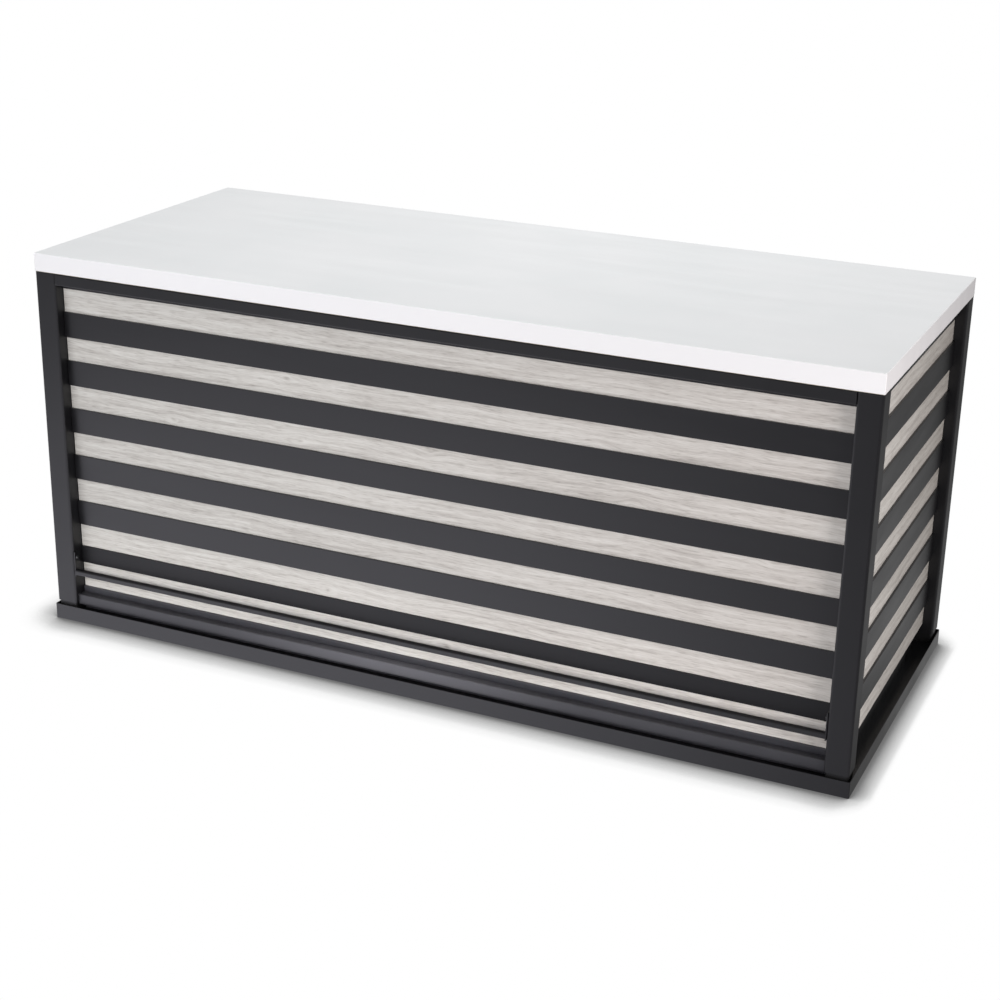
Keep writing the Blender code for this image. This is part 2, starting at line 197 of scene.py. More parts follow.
@dataclass(frozen=True)
class Finish:
    """One real finish.

    Attributes:
        name: The material's name.
        smooth: Roughness where the surface is smoothest.
        rough: Roughness where the surface is dullest.
    """

    name: str
    smooth: float
    rough: float

    def material(self) -> Material:
        """Make the material with its node tree.

        Returns:
            The finished material.
        """
        made = bpy.data.materials.new(self.name)
        made.use_nodes = True
        tree = made.node_tree
        tree.nodes.clear()
        shader = add_node(tree, "BsdfPrincipled")
        add_node(tree, "OutputMaterial", {"Surface": shader})
        place = add_node(tree, "TexCoord")
        self.dress(Canvas(tree, shader, place.outputs["Object"], place.outputs["Normal"]))
        LOG.info("finish %s", self.name)
        return made

    def dress(self, canvas: Canvas) -> None:
        """Link the colour, roughness and bump of this finish to its shader."""
        raise NotImplementedError

    @staticmethod
    def spots(canvas: Canvas, size: Triple, octaves: float, turn: float = 0.0) -> Source:
        """Draw noise whose spots have the given size.

        Args:
            canvas: The material's nodes.
            size: Size of a spot along each axis, in metres.
            octaves: Octaves of the noise.
            turn: Turn of the spots about the upright axis.

        Returns:
            The noise, around a half.
        """
        packed = add_node(
            canvas.tree,
            "Mapping",
            {
                "Vector": canvas.here,
                "Rotation": (0.0, 0.0, turn),
                "Scale": tuple(1 / length for length in size),
            },
        )
        return add_node(canvas.tree, "TexNoise", {"Vector": packed, "Scale": 1.0, "Detail": octaves})

    def roughen(self, canvas: Canvas, pattern: Source) -> None:
        """Let a pattern run the roughness from smooth to rough.

        Args:
            canvas: The material's nodes.
            pattern: A value around a half.
        """
        spread = add_node(canvas.tree, "MapRange", (pattern, *NOISE_RANGE, self.smooth, self.rough))
        canvas.feed("Roughness", spread)

    @staticmethod
    def emboss(canvas: Canvas, height: Source, strength: float, depth: float) -> None:
        """Raise a pattern on the surface.

        Args:
            canvas: The material's nodes.
            height: The pattern.
            strength: How much of the bump shows.
            depth: Height of the relief, in metres.
        """
        bump = add_node(canvas.tree, "Bump", {"Height": height, "Strength": strength, "Distance": depth})
        canvas.feed("Normal", bump)

    @staticmethod
    def worn_edges(canvas: Canvas, width: float, breakup: Source) -> Source:
        """Find the edges that hands and cloths rub, broken up by a pattern.

        Args:
            canvas: The material's nodes.
            width: How far the wear reaches from the edge, in metres.
            breakup: A value around a half that interrupts the wear.

        Returns:
            A factor from 0 on flats to 1 on worn edges.
        """
        tree = canvas.tree
        rounded = add_node(tree, "Bevel", {"Radius": width}, samples=WEAR_SAMPLES)
        flat = add_node(tree, "NewGeometry")
        turn = add_node(tree, "VectorMath", (rounded, flat.outputs["Normal"]), operation="DOT_PRODUCT")
        edge = add_node(tree, "MapRange", (turn, *WEAR_TURN))
        patchy = add_node(tree, "MapRange", (breakup, *NOISE_MIDDLE, WEAR_LEFT))
        return add_node(tree, "Math", (edge, patchy), operation="MULTIPLY")


@dataclass(frozen=True)
class WhiteLaminate(Finish):
    """High-pressure laminate on board, pressed against a pebbled plate, with a matching edge band.

    The eye sees an even satin white, faint wiping marks in the shine, a slightly purer white on the
    edge band with a hairline glue joint under the face sheet, and a plain warm backing sheet below.

    Attributes:
        top: Height of the slab's upper face.
        sheet: Thickness of the face sheet above the glue joint.
        joint: Half the height of the glue joint's line.
        cloud: Size of the faint clouds in the white.
        face_tints: Hex colours of those clouds.
        band_tint, glue_tint, back_tint: Hex colours of edge band, glue joint and backing sheet.
        wipe: Length, width and height of a wiping mark.
        wipe_turn: Turn of the wiping marks from the slab's length.
        pebble, pebble_show, pebble_depth: Size of the pebble, share that shows, and height.
    """

    top: float = 0.845
    sheet: float = 0.9 * MM
    joint: float = 0.25 * MM
    cloud: float = 240 * MM
    face_tints: tuple[str, str] = ("#E6E8E9", "#EAEBEC")
    band_tint: str = "#F0F0F3"
    glue_tint: str = "#CFCCC6"
    back_tint: str = "#CFC8BB"
    wipe: Triple = (420 * MM, 35 * MM, 1000 * MM)
    wipe_turn: float = math.radians(18)
    # The pressed pebble is about 0.5 mm. It is drawn at 1.6 mm so that it shows.
    pebble: float = 1.6 * MM
    pebble_show: float = 0.10
    pebble_depth: float = 0.06 * MM

    def dress(self, canvas: Canvas) -> None:
        """Link the white of face, edge band and backing, the wiping marks and the pebble.

        Args:
            canvas: The material's nodes.
        """
        tree = canvas.tree
        cloud = self.spots(canvas, (self.cloud,) * 3, octaves=3.0)
        face_stops = tuple(zip(NOISE_MIDDLE, self.face_tints))
        colour = add_node(tree, "ValToRGB", {"Fac": cloud}, stops=face_stops)
        normal = add_node(tree, "SeparateXYZ", {"Vector": canvas.normal})
        spot = add_node(tree, "SeparateXYZ", {"Vector": canvas.here})
        upright = add_node(tree, "Math", (normal.outputs["Z"], 0.0, UPRIGHT), operation="COMPARE")
        below = add_node(tree, "Math", (normal.outputs["Z"], -UPRIGHT), operation="LESS_THAN")
        joint = add_node(
            tree, "Math", (spot.outputs["Z"], self.top - self.sheet, self.joint), operation="COMPARE"
        )
        seam = add_node(tree, "Math", (joint, upright), operation="MULTIPLY")
        for mask, code in ((upright, self.band_tint), (seam, self.glue_tint), (below, self.back_tint)):
            colour = add_node(
                tree,
                "Mix",
                {MIX_FACTOR: mask, MIX_FIRST: colour, MIX_SECOND: srgb(code)},
                data_type="RGBA",
            )
        canvas.feed("Base Color", colour)
        self.roughen(canvas, self.spots(canvas, self.wipe, octaves=4.0, turn=self.wipe_turn))
        pebble = self.spots(canvas, (self.pebble,) * 3, octaves=1.0)
        self.emboss(canvas, pebble, self.pebble_show, self.pebble_depth)


@dataclass(frozen=True)
class GreyOakLaminate(Finish):
    """Grey limed-oak print under a matt laminate with a registered grain emboss.

    The eye sees long pale streaks, fine darker fibres, soft growth bands that swell round a few
    small knots, and slow changes of tone along the board; on the right board the print is also darker,
    and darker towards the back, as painted shade.

    Attributes:
        grain: Which way the grain runs.
        shift: Offset of the print, so that no two boards show the same figure.
        tint: How much paler or darker the print is made; the darker print of the right board is painted
            shade.
        print_stops: Places and hex colours of the print, from its darkest to its palest lines.
        shade_and_tone_drift: Stretch along the grain over which the print's tone drifts.
        shade_and_tone_tint: Hex colour that the print is multiplied by at the end of that stretch; on the
            right board it darkens the back as painted shade.
        streak, fibre, tone, sway: Length, width and octaves of that figure.
        pore: Width, length and octaves of the dark pores.
        pore_range: Noise values at which a pore starts and is darkest.
        sway_width: How far the grain sways.
        octave_share: How much each finer octave of the noise weighs.
        shares: Weights of streaks, fibres, tones, growth bands and pores in the print.
        ring_period: Distance between two growth bands.
        ring_stretch: Share of the length along the grain that the bands follow.
        ring_warp, ring_octaves, ring_warp_scale: How far and how finely the bands wander.
        knot_cell: Length and width of the field that holds one knot at most.
        knot_share: Share of the fields that hold one.
        knot_length: Length of a knot as a multiple of its width.
        knot_radius, knot_dark: Radius of its dark core, and how much darker that is.
        knot_reach, knot_bend: How far and how strongly it bends the grain.
        relief_show, relief_depth: Share that shows, and height, of the embossed grain.
    """

    grain: Grain = Grain.ALONG_LENGTH
    shift: Pair = (0.0, 0.0)
    tint: float = 0.0
    print_stops: Stops = ((0.16, "#8F8A86"), (0.38, "#B9B6B2"), (0.50, "#C9C7C3"), (0.64, "#D6D5D2"))
    shade_and_tone_drift: Pair = (-0.5, 0.9)
    shade_and_tone_tint: str = "#FFFCFC"
    streak: Triple = (85 * MM, 4.2 * MM, 5.0)
    # Oak pores are about 0.3 mm wide. The fibres are drawn at 1.2 mm so that they show.
    fibre: Triple = (22 * MM, 1.2 * MM, 2.0)
    tone: Triple = (420 * MM, 42 * MM, 2.0)
    # The darkest pores, drawn at 2 mm for the same reason
    pore: Triple = (2 * MM, 30 * MM, 1.0)
    pore_range: Pair = (0.58, 0.74)
    sway: Triple = (260 * MM, 80 * MM, 1.0)
    sway_width: float = 17 * MM
    octave_share: float = 0.58
    shares: tuple[float, ...] = (0.44, 0.24, 0.24, 0.08, -0.13)
    ring_period: float = 19 * MM
    ring_stretch: float = 0.045
    ring_warp: float = 5.0
    ring_octaves: float = 2.0
    ring_warp_scale: float = 0.35
    knot_cell: Pair = (330 * MM, 105 * MM)
    knot_share: float = 0.36
    knot_length: float = 1.7
    knot_radius: float = 7 * MM
    knot_reach: float = 34 * MM
    knot_dark: float = 0.16
    knot_bend: float = 0.75
    relief_show: float = 0.22
    relief_depth: float = 0.10 * MM

    def dress(self, canvas: Canvas) -> None:
        """Link the print, its dull sheen and its embossed grain.

        Args:
            canvas: The material's nodes.
        """
        tree = canvas.tree
        spot = add_node(tree, "SeparateXYZ", {"Vector": canvas.here})
        along, across = (
            add_node(tree, "Math", (spot.outputs[axis], shift), operation="ADD")
            for axis, shift in zip((self.grain.value, "Z"), self.shift)
        )
        sway = self.stretched_noise(tree, along, across, self.sway)
        across = add_node(tree, "Math", (sway, self.sway_width, across), operation="MULTIPLY_ADD")
        knot, across = self.bend_round_knots(tree, along, across)
        figures = (self.streak, self.fibre, self.tone)
        streak, fibre, tone = (self.stretched_noise(tree, along, across, size) for size in figures)
        rings = self.growth_rings(tree, along, across)
        # Read crosswise, so that the pores part from the fibres
        pore = self.stretched_noise(tree, across, along, self.pore)
        pores = add_node(tree, "MapRange", (pore, *self.pore_range))
        total = add_node(tree, "Math", (knot, -self.knot_dark, self.tint), operation="MULTIPLY_ADD")
        for layer, share in zip((streak, fibre, tone, rings, pores), self.shares):
            total = add_node(tree, "Math", (layer, share, total), operation="MULTIPLY_ADD")
        printed = add_node(tree, "ValToRGB", {"Fac": total}, stops=self.print_stops)
        shade_and_tone_drift = add_node(tree, "MapRange", (along, *self.shade_and_tone_drift))
        shaded_and_toned = add_node(
            tree,
            "Mix",
            {MIX_FACTOR: shade_and_tone_drift, MIX_FIRST: printed, MIX_SECOND: srgb(self.shade_and_tone_tint)},
            data_type="RGBA",
            blend_type="MULTIPLY",
        )
        canvas.feed("Base Color", shaded_and_toned)
        self.roughen(canvas, streak)
        relief = add_node(tree, "Math", (streak, fibre), operation="ADD")
        self.emboss(canvas, relief, self.relief_show, self.relief_depth)

    def bend_round_knots(self, tree: Nodes, along: Source, across: Source) -> tuple[Source, Source]:
        """Set a few knots and spread the grain round them.

        Args:
            tree: The material's node tree.
            along: Place along the grain, in metres.
            across: Place across the grain, in metres.

        Returns:
            The knots' darkness, and the bent place across the grain.
        """
        length, width = self.knot_cell
        cell = add_node(tree, "CombineXYZ", (along, across))
        packed = add_node(tree, "VectorMath", (cell, (1 / length, 1 / width, 0.0)), operation="MULTIPLY")
        seeds = add_node(tree, "TexVoronoi", {"Vector": packed, "Scale": 1.0}, voronoi_dimensions="2D")
        offset = add_node(tree, "VectorMath", (packed, seeds.outputs["Position"]), operation="SUBTRACT")
        real = add_node(
            tree, "VectorMath", (offset, (length / self.knot_length, width, 0.0)), operation="MULTIPLY"
        )
        away = add_node(tree, "VectorMath", (real,), operation="LENGTH")
        chance = add_node(tree, "SeparateColor", {"Color": seeds.outputs["Color"]})
        present = add_node(tree, "Math", (chance, self.knot_share), operation="LESS_THAN")
        falls = []
        for radius in (self.knot_radius, self.knot_reach):
            near = add_node(tree, "MapRange", (away, radius, 0.0), interpolation_type="SMOOTHSTEP")
            falls.append(add_node(tree, "Math", (near, present), operation="MULTIPLY"))
        dark, reach = falls
        aside = add_node(tree, "SeparateXYZ", {"Vector": real})
        pull = add_node(tree, "Math", (aside.outputs["Y"], reach), operation="MULTIPLY")
        bent = add_node(tree, "Math", (pull, -self.knot_bend, across), operation="MULTIPLY_ADD")
        return dark, bent

    def stretched_noise(self, tree: Nodes, along: Source, across: Source, size: Triple) -> Source:
        """Draw noise whose spots have the given length and width.

        Args:
            tree: The material's node tree.
            along: Place along the grain, in metres.
            across: Place across the grain, in metres.
            size: Length and width of a spot in metres, and the octaves of the noise.

        Returns:
            The noise, around a half.
        """
        length, width, octaves = size
        cell = add_node(tree, "CombineXYZ", (along, across))
        packed = add_node(tree, "VectorMath", (cell, (1 / length, 1 / width, 0.0)), operation="MULTIPLY")
        return add_node(
            tree,
            "TexNoise",
            {"Vector": packed, "Scale": 1.0, "Detail": octaves, "Roughness": self.octave_share},
            noise_dimensions="2D",
        )

    def growth_rings(self, tree: Nodes, along: Source, across: Source) -> Source:
        """Draw the soft growth bands, drawn out along the grain.

        Args:
            tree: The material's node tree.
            along: Place along the grain, in metres.
            across: Place across the grain, in metres.

        Returns:
            The bands, from 0 to 1.
        """
        squeezed = add_node(tree, "Math", (along, self.ring_stretch), operation="MULTIPLY")
        cell = add_node(tree, "CombineXYZ", (squeezed, across))
        wave = add_node(
            tree,
            "TexWave",
            {
                "Vector": cell,
                "Scale": WAVE_LENGTH / self.ring_period,
                "Distortion": self.ring_warp,
                "Detail": self.ring_octaves,
                "Detail Scale": self.ring_warp_scale,
            },
            bands_direction="Y",
        )
        return wave.outputs["Fac"]


@dataclass(frozen=True)
class BlackCoat(Finish):
    """A dark coat with a fine relief and paler rubbed edges.

    Attributes:
        deep, pale, rubbed: Hex colours of the darker and paler patches and of the rubbed edges, and of
            the painted highlight where one is set.
        patch: Size of the slow colour patches.
        relief: Size of the surface relief, drawn coarse enough to show.
        relief_show, relief_depth: Share that shows, and height, of that relief.
        edge: How far the rubbing reaches from an edge.
        painted_highlight: Middle along the length, and reach, of a paler patch painted on as a highlight.
        gloss: Level of the mirrored light, a half where the coat is whole.
    """

    deep: str = "#111113"
    pale: str = "#151517"
    rubbed: str = "#2A2A2E"
    patch: Triple = (90 * MM, 90 * MM, 90 * MM)
    relief: Triple = (2.2 * MM, 2.2 * MM, 2.2 * MM)
    relief_show: float = 0.25
    relief_depth: float = 0.05 * MM
    edge: float = 1.3 * MM
    painted_highlight: Pair | None = None
    gloss: float = 0.5

    def dress(self, canvas: Canvas) -> None:
        """Link the coat's patches, its rubbed edges, any painted highlight and its relief.

        Args:
            canvas: The material's nodes.
        """
        tree = canvas.tree
        patches = self.spots(canvas, self.patch, octaves=4.0)
        coat = add_node(
            tree, "ValToRGB", {"Fac": patches}, stops=tuple(zip(NOISE_MIDDLE, (self.deep, self.pale)))
        )
        worn = self.worn_edges(canvas, self.edge, patches)
        # Where set, a painted highlight patch joins the worn edges and takes the rubbed colour
        if self.painted_highlight:
            worn = self.add_painted_highlight(canvas, worn)
        colour = add_node(
            tree,
            "Mix",
            {MIX_FACTOR: worn, MIX_FIRST: coat, MIX_SECOND: srgb(self.rubbed)},
            data_type="RGBA",
        )
        canvas.feed("Base Color", colour)
        canvas.shader.inputs["Specular IOR Level"].default_value = self.gloss
        self.roughen(canvas, patches)
        grit = self.spots(canvas, self.relief, octaves=2.0)
        self.emboss(canvas, grit, self.relief_show, self.relief_depth)

    def add_painted_highlight(self, canvas: Canvas, worn: Source) -> Source:
        """Add a paler patch along the length, painted on as a highlight, to the worn edges.

        Args:
            canvas: The material's nodes.
            worn: The worn edges' factor.

        Returns:
            The larger of both factors.
        """
        tree = canvas.tree
        middle, reach = self.painted_highlight
        spot = add_node(tree, "SeparateXYZ", {"Vector": canvas.here})
        aside = add_node(tree, "Math", (spot.outputs["X"], middle), operation="SUBTRACT")
        away = add_node(tree, "Math", (aside,), operation="ABSOLUTE")
        near = add_node(tree, "MapRange", (away, reach, 0.0), interpolation_type="SMOOTHSTEP")
        return add_node(tree, "Math", (near, worn), operation="MAXIMUM")


@dataclass(frozen=True)
class PlatedSteel(Finish):
    """Turned steel with a thin plating.

    The eye sees a grey metal with faint clouds of another tint and fine rubbed lines in the shine.

    Attributes:
        tint_stops: Places and hex colours of the plating, from its darker to its cloudy places.
        cloud: Size of the clouds.
        line: Width, width and length of the rubbed lines.
        line_show, line_depth: Share that shows, and depth, of those lines.
    """

    tint_stops: Stops = ((0.35, "#B7BBC0"), (0.55, "#C6C8CA"), (0.70, "#CDC9BC"))
    cloud: float = 7 * MM
    # Rubbed lines are finer than this. They are drawn at 0.6 mm so that they show.
    line: Triple = (0.6 * MM, 0.6 * MM, 9 * MM)
    line_show: float = 0.15
    line_depth: float = 0.02 * MM

    def dress(self, canvas: Canvas) -> None:
        """Link the plating's tints and its rubbed lines.

        Args:
            canvas: The material's nodes.
        """
        cloud = self.spots(canvas, (self.cloud,) * 3, octaves=3.0)
        tint = add_node(canvas.tree, "ValToRGB", {"Fac": cloud}, stops=self.tint_stops)
        canvas.feed("Base Color", tint)
        canvas.shader.inputs["Metallic"].default_value = 1.0
        lines = self.spots(canvas, self.line, octaves=3.0)
        self.roughen(canvas, lines)
        self.emboss(canvas, lines, self.line_show, self.line_depth)


@dataclass
class FinishBook:
    """The station's materials, each described where it is made."""

    laminate: Material = field(init=False)
    oak_front: Material = field(init=False)
    oak_left: Material = field(init=False)
    oak_right: Material = field(init=False)
    strip: Material = field(init=False)
    dulled_strip: Material = field(init=False)
    painted_light_strip: Material = field(init=False)
    steel: Material = field(init=False)
    post_steel: Material = field(init=False)
    painted_light_steel: Material = field(init=False)
    plastic: Material = field(init=False)
    zinc: Material = field(init=False)
    oxide: Material = field(init=False)

    def __post_init__(self) -> None:
        """Make every material once."""
        self.laminate = WhiteLaminate("white_high_pressure_laminate", smooth=0.30, rough=0.42).material()
        self.cover_boards()
        self.cover_strips()
        self.coat_frame()
        # Zinc with a clear passivation: cool grey with straw-coloured clouds
        self.zinc = PlatedSteel("bright_zinc_plate", smooth=0.26, rough=0.42).material()
        # Black oxide, oiled: dark grey where it is thick, paler where a driver has rubbed it
        self.oxide = PlatedSteel(
            "black_oxide_steel",
            smooth=0.38,
            rough=0.52,
            tint_stops=((0.35, "#55575A"), (0.55, "#636568"), (0.70, "#6B6A66")),
        ).material()

    def cover_boards(self) -> None:
        """Print each board from its own stretch of the oak, with painted shade darkening the right board.
        """
        oak = GreyOakLaminate("grey_limed_oak_laminate_front", smooth=0.48, rough=0.62, tint=-0.015)
        self.oak_front = oak.material()
        self.oak_left = replace(
            oak,
            name="grey_limed_oak_laminate_left",
            grain=Grain.ALONG_DEPTH,
            shift=(3.1, 1.7),
            tint=0.0,
            shade_and_tone_drift=(2.8, 3.4),
        ).material()
        # The right board's lower tint and its darkening towards the back are painted shade, where its
        # recess and the back post shade it
        self.oak_right = replace(
            oak,
            name="grey_limed_oak_laminate_right",
            grain=Grain.ALONG_DEPTH,
            shift=(5.3, 2.9),
            tint=-0.035,
            shade_and_tone_drift=(5.1, 5.6),
            shade_and_tone_tint="#E8E6E4",
        ).material()

    def cover_strips(self) -> None:
        """Make the black strips' melamine, whole and worn."""
        # Black melamine: pressed smooth along its length, so its satin sheen runs in long soft patches
        melamine = BlackCoat(
            "black_melamine_strip",
            smooth=0.32,
            rough=0.40,
            deep="#131315",
            pale="#171719",
            rubbed="#2B2B2F",
            patch=(260 * MM, 260 * MM, 40 * MM),
            relief=(9 * MM, 9 * MM, 1.8 * MM),
            relief_depth=0.03 * MM,
            edge=1.0 * MM,
        )
        self.strip = melamine.material()
        # The strip above the guard bar, whose sheen mops have dulled
        dulled = replace(melamine, name="dulled_melamine_strip", smooth=0.42, rough=0.52, gloss=0.33)
        self.dulled_strip = dulled.material()
        # The lowest strip, rougher and painted paler grey as painted light, for the bright floor that its
        # face mirrors above the low rail
        self.painted_light_strip = replace(
            melamine,
            name="painted_light_melamine_strip",
            smooth=0.42,
            rough=0.52,
            deep="#2E2E33",
            pale="#36363B",
            rubbed="#4A4A50",
        ).material()

    def coat_frame(self) -> None:
        """Make the frame's powder coats and the plastic of its tube ends."""
        # Baked polyester powder: satin, with a slight orange peel and thinner, paler edges
        powder = BlackCoat("satin_black_powder_coat", smooth=0.30, rough=0.38)
        self.steel = powder.material()
        # The powder on posts and long top rails has a fine texture, which dulls what they mirror
        self.post_steel = replace(
            powder,
            name="textured_black_powder_coat",
            smooth=0.42,
            rough=0.50,
            deep="#131315",
            pale="#161618",
        ).material()
        # The same powder on the low rail, rougher, painted paler grey all along as painted light for its
        # evenly lit face, with a paler patch near the middle as a painted highlight
        self.painted_light_steel = replace(
            powder,
            name="painted_light_black_powder_coat",
            smooth=0.40,
            rough=0.50,
            deep="#2D2D31",
            pale="#343438",
            rubbed="#525257",
            painted_highlight=(-0.07, 0.50),
        ).material()
        # Polypropylene moulded against a spark-eroded tool: dull and evenly grained
        self.plastic = BlackCoat(
            "black_moulded_polypropylene",
            smooth=0.50,
            rough=0.60,
            deep="#131314",
            pale="#171718",
            rubbed="#232325",
            relief=(1.2 * MM, 1.2 * MM, 1.2 * MM),
            relief_depth=0.06 * MM,
        ).material()


def dress_nodes(nodes: Solids, prefix: str, finish: Material) -> None:
    """Give one finish to every solid whose name starts alike.

    Args:
        nodes: The frame's solids by name.
        prefix: How the names start.
        finish: The material for them.
    """
    for name in sorted(nodes):
        if name.startswith(prefix):
            nodes[name].data.materials.clear()
            nodes[name].data.materials.append(finish)
            LOG.info("%s wears %s", name, finish.name)


def deselect_all() -> None:
    """Leave nothing selected, so that an operator acts only on what comes next."""
    bpy.ops.object.select_all(action="DESELECT")


def select_only(item: bpy.types.Object) -> None:
    """Leave one object selected and active.

    Args:
        item: The object that the next operators act on.
    """
    deselect_all()
    item.select_set(True)
    bpy.context.view_layer.objects.active = item


def select_edges(item: bpy.types.Object, wanted: Callable[[Vector, Vector], bool]) -> None:
    """Open an object in edit mode with only certain edges selected.

    Args:
        item: The active mesh object.
        wanted: Test on an edge's two end points.
    """
    bpy.ops.object.mode_set(mode="EDIT")
    bpy.ops.mesh.select_mode(type="EDGE")
    bpy.ops.mesh.select_all(action="DESELECT")
    bpy.ops.object.mode_set(mode="OBJECT")
    points = item.data.vertices
    for edge in item.data.edges:
        edge.select = wanted(points[edge.vertices[0]].co, points[edge.vertices[1]].co)
    bpy.ops.object.mode_set(mode="EDIT")


@dataclass
class ServingTop:
    """The lift-off slab and its four locating pins.

    Attributes:
        finishes: The station's materials.
    """

    finishes: FinishBook

    def dress(self, nodes: Solids) -> None:
        """Give the slab its laminate and the pins their plating."""
        dress_nodes(nodes, "serving_top", self.finishes.laminate)
        dress_nodes(nodes, "locating_pin", self.finishes.zinc)


@dataclass
class TubeFrame:
    """Posts with their caps and plugs, rails, bearer, guard bar, base and feet.

    Attributes:
        finishes: The station's materials.
        steel_names: How the names of the satin steel pieces start.
        textured_names: How the names of the textured ones start.
        plastic_names: How the names of the tube ends start.
    """

    finishes: FinishBook
    steel_names: tuple[str, ...] = ("top_rail", "bottom_rail", "top_bearer", "front_guard", "base_pan")
    textured_names: tuple[str, ...] = ("post_", "top_rail_front", "top_rail_back")
    plastic_names: tuple[str, ...] = ("post_cap", "post_foot_plug")

    def dress(self, nodes: Solids) -> None:
        """Give the steel its coat, then the plastic ends, the low rail and the feet theirs.

        Args:
            nodes: The frame's solids by name.
        """
        coats = (
            (self.steel_names, self.finishes.steel),
            (self.textured_names, self.finishes.post_steel),
            (self.plastic_names, self.finishes.plastic),
        )
        for prefixes, coat in coats:
            for prefix in prefixes:
                dress_nodes(nodes, prefix, coat)
        # The low rail's coat holds painted light: paler grey all along, with a painted highlight near the
        # middle
        dress_nodes(nodes, "bottom_rail_front", self.finishes.painted_light_steel)
        dress_nodes(nodes, "levelling_foot", self.finishes.zinc)


@dataclass
class StripedPanels:
    """The three grey boards with their black strips, and the batten behind the front one.

    Attributes:
        finishes: The station's materials.
    """

    finishes: FinishBook

    def dress(self, nodes: Solids) -> None:
        """Give each board its own stretch of the print, and the strips their melamine.

        Args:
            nodes: The frame's solids by name.
        """
        boards = {
            "front": self.finishes.oak_front,
            "left": self.finishes.oak_left,
            "right": self.finishes.oak_right,
        }
        for side, oak in boards.items():
            dress_nodes(nodes, f"{side}_panel_board", oak)
            dress_nodes(nodes, f"{side}_panel_strip", self.finishes.strip)
        dress_nodes(nodes, "front_panel_strip_7", self.finishes.dulled_strip)
        # The lowest strip's paler grey is painted light
        dress_nodes(nodes, "front_panel_strip_8", self.finishes.painted_light_strip)
        dress_nodes(nodes, "panel_foot_stop", self.finishes.strip)


